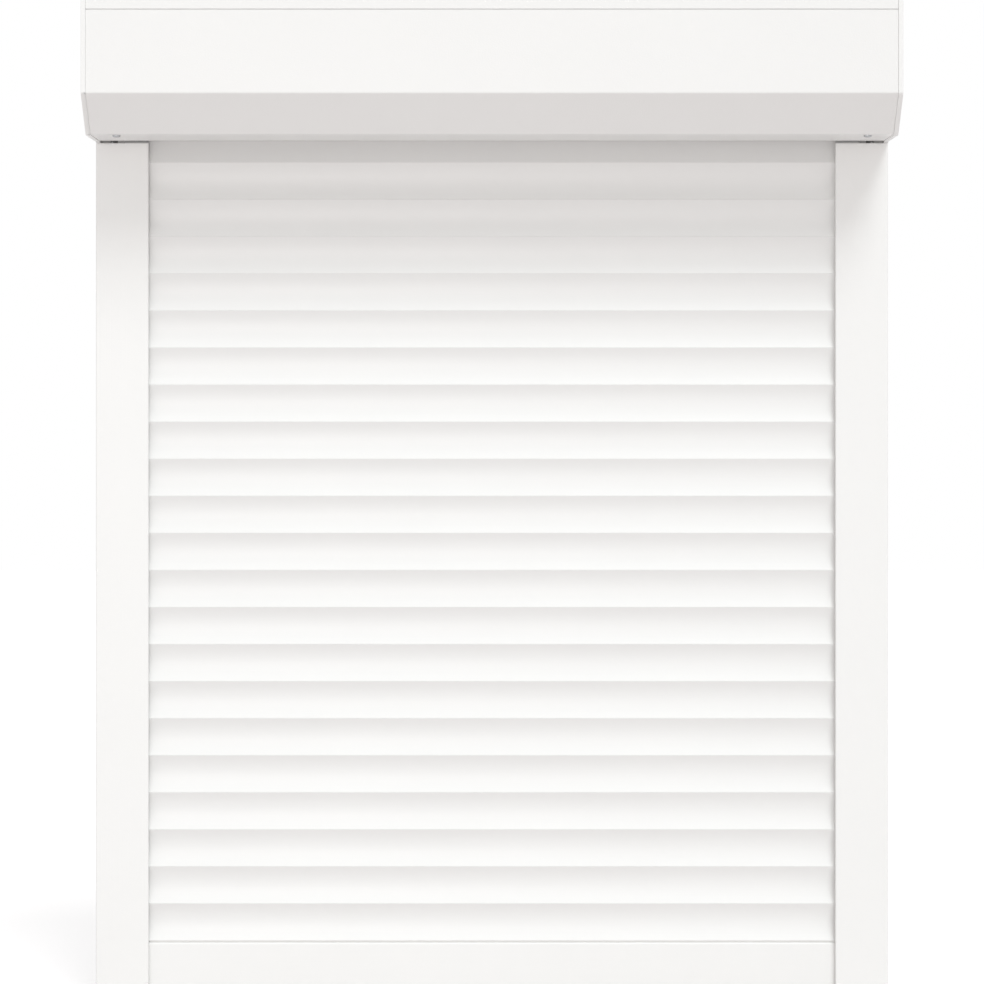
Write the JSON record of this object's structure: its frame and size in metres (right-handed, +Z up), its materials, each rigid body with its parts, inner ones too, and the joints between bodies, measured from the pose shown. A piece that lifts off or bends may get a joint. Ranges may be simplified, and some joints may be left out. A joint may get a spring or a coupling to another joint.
{
  "type": "exterior roller shutter",
  "caption": "Exterior roller shutter: head box with a cut lower corner, guide rails, and a curtain of hollow interlocking slats that winds on an octagonal motor-driven tube.",
  "frame": {"origin": "middle of the box's rear face, on the wall", "axes": "+X along the width, to the right as seen from outside; +Y into the wall; +Z up"},
  "size_m": [0.8, 0.138, 1.0072],
  "materials": {
    "white_sheet": "satin",
    "white_rail": "satin",
    "white_cap": "satin",
    "white_slat": "satin",
    "rivet": "satin",
    "zinc_steel": "satin",
    "grey_plastic": "matte",
    "seal_rubber": "matte",
    "dark_plastic": "matte",
    "motor_steel": "satin",
    "bearing_steel": "polished",
    "bearing_brass": "satin",
    "spring_steel": "satin"
  },
  "bodies": {
    "frame": {"rear_shell": "white_sheet", "front_cover": "white_sheet", "end_cap_left": "white_cap", "end_cap_right": "white_cap", "shell_rivets": "rivet", "cover_screws": "zinc_steel", "guide_rail_left": "white_rail", "guide_rail_right": "white_rail", "entry_funnel_left": "grey_plastic", "entry_funnel_right": "grey_plastic", "rail_seal_left_front": "seal_rubber", "rail_seal_left_rear": "seal_rubber", "rail_seal_right_front": "seal_rubber", "rail_seal_right_rear": "seal_rubber", "rail_foot_left": "grey_plastic", "rail_foot_right": "grey_plastic", "cable_grommet": "seal_rubber", "motor_bracket": "zinc_steel", "bracket_screws": "zinc_steel", "motor_head": "dark_plastic", "motor_body": "motor_steel", "bearing_holder": "zinc_steel", "holder_screws": "zinc_steel", "bearing_outer_ring": "bearing_steel"},
    "winding_tube": {"winding_tube": "motor_steel", "motor_crown": "dark_plastic", "motor_shaft": "motor_steel", "drive_wheel": "dark_plastic", "idle_plug": "dark_plastic", "idle_pin": "motor_steel", "bearing_inner_ring": "bearing_steel", "suspension_straps": "spring_steel"},
    "bearing_cage": {"bearing_cage": "bearing_brass", "bearing_balls": "bearing_steel"},
    "bottom_bar": {"bottom_bar": "white_rail", "bottom_seal": "seal_rubber", "bar_end_plugs": "grey_plastic"},
    "slat_01": {"slat_01": "white_slat"},
    "slat_02": {"slat_02": "white_slat"},
    "slat_03": {"slat_03": "white_slat"},
    "slat_04": {"slat_04": "white_slat"},
    "slat_05": {"slat_05": "white_slat"},
    "slat_06": {"slat_06": "white_slat"},
    "slat_07": {"slat_07": "white_slat"},
    "slat_08": {"slat_08": "white_slat"},
    "slat_09": {"slat_09": "white_slat"},
    "slat_10": {"slat_10": "white_slat"},
    "slat_11": {"slat_11": "white_slat"},
    "slat_12": {"slat_12": "white_slat"},
    "slat_13": {"slat_13": "white_slat"},
    "slat_14": {"slat_14": "white_slat"},
    "slat_15": {"slat_15": "white_slat"},
    "slat_16": {"slat_16": "white_slat"},
    "slat_17": {"slat_17": "white_slat"},
    "slat_18": {"slat_18": "white_slat"},
    "slat_19": {"slat_19": "white_slat"},
    "slat_20": {"slat_20": "white_slat"},
    "slat_21": {"slat_21": "white_slat"},
    "slat_22": {"slat_22": "white_slat"}
  },
  "joints": [
    {"name": "shutter_lift", "type": "slide", "parent": "frame", "child": "bottom_bar", "axis": [0, 0, 1], "range_m": [0, 0.84]},
    {"name": "slat_01_lift", "type": "slide", "parent": "frame", "child": "slat_01", "axis": [0, 0, 1], "range_m": [0, 0.1105], "deforming": ["slat_01"]},
    {"name": "slat_02_lift", "type": "slide", "parent": "frame", "child": "slat_02", "axis": [0, 0, 1], "range_m": [0, 0.1453], "deforming": ["slat_02"]},
    {"name": "slat_03_lift", "type": "slide", "parent": "frame", "child": "slat_03", "axis": [0, 0, 1], "range_m": [0, 0.18], "deforming": ["slat_03"]},
    {"name": "slat_04_lift", "type": "slide", "parent": "frame", "child": "slat_04", "axis": [0, 0, 1], "range_m": [0, 0.2148], "deforming": ["slat_04"]},
    {"name": "slat_05_lift", "type": "slide", "parent": "frame", "child": "slat_05", "axis": [0, 0, 1], "range_m": [0, 0.2495], "deforming": ["slat_05"]},
    {"name": "slat_06_lift", "type": "slide", "parent": "frame", "child": "slat_06", "axis": [0, 0, 1], "range_m": [0, 0.2843], "deforming": ["slat_06"]},
    {"name": "slat_07_lift", "type": "slide", "parent": "frame", "child": "slat_07", "axis": [0, 0, 1], "range_m": [0, 0.3191], "deforming": ["slat_07"]},
    {"name": "slat_08_lift", "type": "slide", "parent": "frame", "child": "slat_08", "axis": [0, 0, 1], "range_m": [0, 0.3538], "deforming": ["slat_08"]},
    {"name": "slat_09_lift", "type": "slide", "parent": "frame", "child": "slat_09", "axis": [0, 0, 1], "range_m": [0, 0.3886], "deforming": ["slat_09"]},
    {"name": "slat_10_lift", "type": "slide", "parent": "frame", "child": "slat_10", "axis": [0, 0, 1], "range_m": [0, 0.4234], "deforming": ["slat_10"]},
    {"name": "slat_11_lift", "type": "slide", "parent": "frame", "child": "slat_11", "axis": [0, 0, 1], "range_m": [0, 0.4581], "deforming": ["slat_11"]},
    {"name": "slat_12_lift", "type": "slide", "parent": "frame", "child": "slat_12", "axis": [0, 0, 1], "range_m": [0, 0.4929], "deforming": ["slat_12"]},
    {"name": "slat_13_lift", "type": "slide", "parent": "frame", "child": "slat_13", "axis": [0, 0, 1], "range_m": [0, 0.5276], "deforming": ["slat_13"]},
    {"name": "slat_14_lift", "type": "slide", "parent": "frame", "child": "slat_14", "axis": [0, 0, 1], "range_m": [0, 0.5624], "deforming": ["slat_14"]},
    {"name": "slat_15_lift", "type": "slide", "parent": "frame", "child": "slat_15", "axis": [0, 0, 1], "range_m": [0, 0.5972], "deforming": ["slat_15"]},
    {"name": "slat_16_lift", "type": "slide", "parent": "frame", "child": "slat_16", "axis": [0, 0, 1], "range_m": [0, 0.6319], "deforming": ["slat_16"]},
    {"name": "slat_17_lift", "type": "slide", "parent": "frame", "child": "slat_17", "axis": [0, 0, 1], "range_m": [0, 0.6667], "deforming": ["slat_17"]},
    {"name": "slat_18_lift", "type": "slide", "parent": "frame", "child": "slat_18", "axis": [0, 0, 1], "range_m": [0, 0.7015], "deforming": ["slat_18"]},
    {"name": "slat_19_lift", "type": "slide", "parent": "frame", "child": "slat_19", "axis": [0, 0, 1], "range_m": [0, 0.7362], "deforming": ["slat_19"]},
    {"name": "slat_20_lift", "type": "slide", "parent": "frame", "child": "slat_20", "axis": [0, 0, 1], "range_m": [0, 0.771], "deforming": ["slat_20"]},
    {"name": "slat_21_lift", "type": "slide", "parent": "frame", "child": "slat_21", "axis": [0, 0, 1], "range_m": [0, 0.8057], "deforming": ["slat_21"]},
    {"name": "slat_22_lift", "type": "slide", "parent": "frame", "child": "slat_22", "axis": [0, 0, 1], "range_m": [0, 0.8405], "deforming": ["slat_22"]},
    {"name": "tube_spin", "type": "hinge", "parent": "frame", "child": "winding_tube", "pos_m": [0, -0.07, 0.0035], "axis": [1, 0, 0], "range_deg": [0, 1252], "deforming": ["suspension_straps"]},
    {"name": "cage_spin", "type": "hinge", "parent": "frame", "child": "bearing_cage", "pos_m": [0, -0.07, 0.0035], "axis": [1, 0, 0], "range_deg": [0, 489]}
  ],
  "couplings": [
    {"joint": "slat_01_lift", "follows": "shutter_lift", "ratio": 0.13095},
    {"joint": "slat_02_lift", "follows": "shutter_lift", "ratio": 0.17234},
    {"joint": "slat_03_lift", "follows": "shutter_lift", "ratio": 0.21372},
    {"joint": "slat_04_lift", "follows": "shutter_lift", "ratio": 0.2551},
    {"joint": "slat_05_lift", "follows": "shutter_lift", "ratio": 0.29648},
    {"joint": "slat_06_lift", "follows": "shutter_lift", "ratio": 0.33787},
    {"joint": "slat_07_lift", "follows": "shutter_lift", "ratio": 0.37925},
    {"joint": "slat_08_lift", "follows": "shutter_lift", "ratio": 0.42063},
    {"joint": "slat_09_lift", "follows": "shutter_lift", "ratio": 0.46202},
    {"joint": "slat_10_lift", "follows": "shutter_lift", "ratio": 0.5034},
    {"joint": "slat_11_lift", "follows": "shutter_lift", "ratio": 0.54478},
    {"joint": "slat_12_lift", "follows": "shutter_lift", "ratio": 0.58617},
    {"joint": "slat_13_lift", "follows": "shutter_lift", "ratio": 0.62755},
    {"joint": "slat_14_lift", "follows": "shutter_lift", "ratio": 0.66893},
    {"joint": "slat_15_lift", "follows": "shutter_lift", "ratio": 0.71032},
    {"joint": "slat_16_lift", "follows": "shutter_lift", "ratio": 0.7517},
    {"joint": "slat_17_lift", "follows": "shutter_lift", "ratio": 0.79308},
    {"joint": "slat_18_lift", "follows": "shutter_lift", "ratio": 0.83447},
    {"joint": "slat_19_lift", "follows": "shutter_lift", "ratio": 0.87585},
    {"joint": "slat_20_lift", "follows": "shutter_lift", "ratio": 0.91723},
    {"joint": "slat_21_lift", "follows": "shutter_lift", "ratio": 0.95862},
    {"joint": "slat_22_lift", "follows": "shutter_lift", "ratio": 1},
    {"joint": "tube_spin", "follows": "shutter_lift", "rad_per_m": 26},
    {"joint": "cage_spin", "follows": "shutter_lift", "rad_per_m": 10.14}
  ]
}
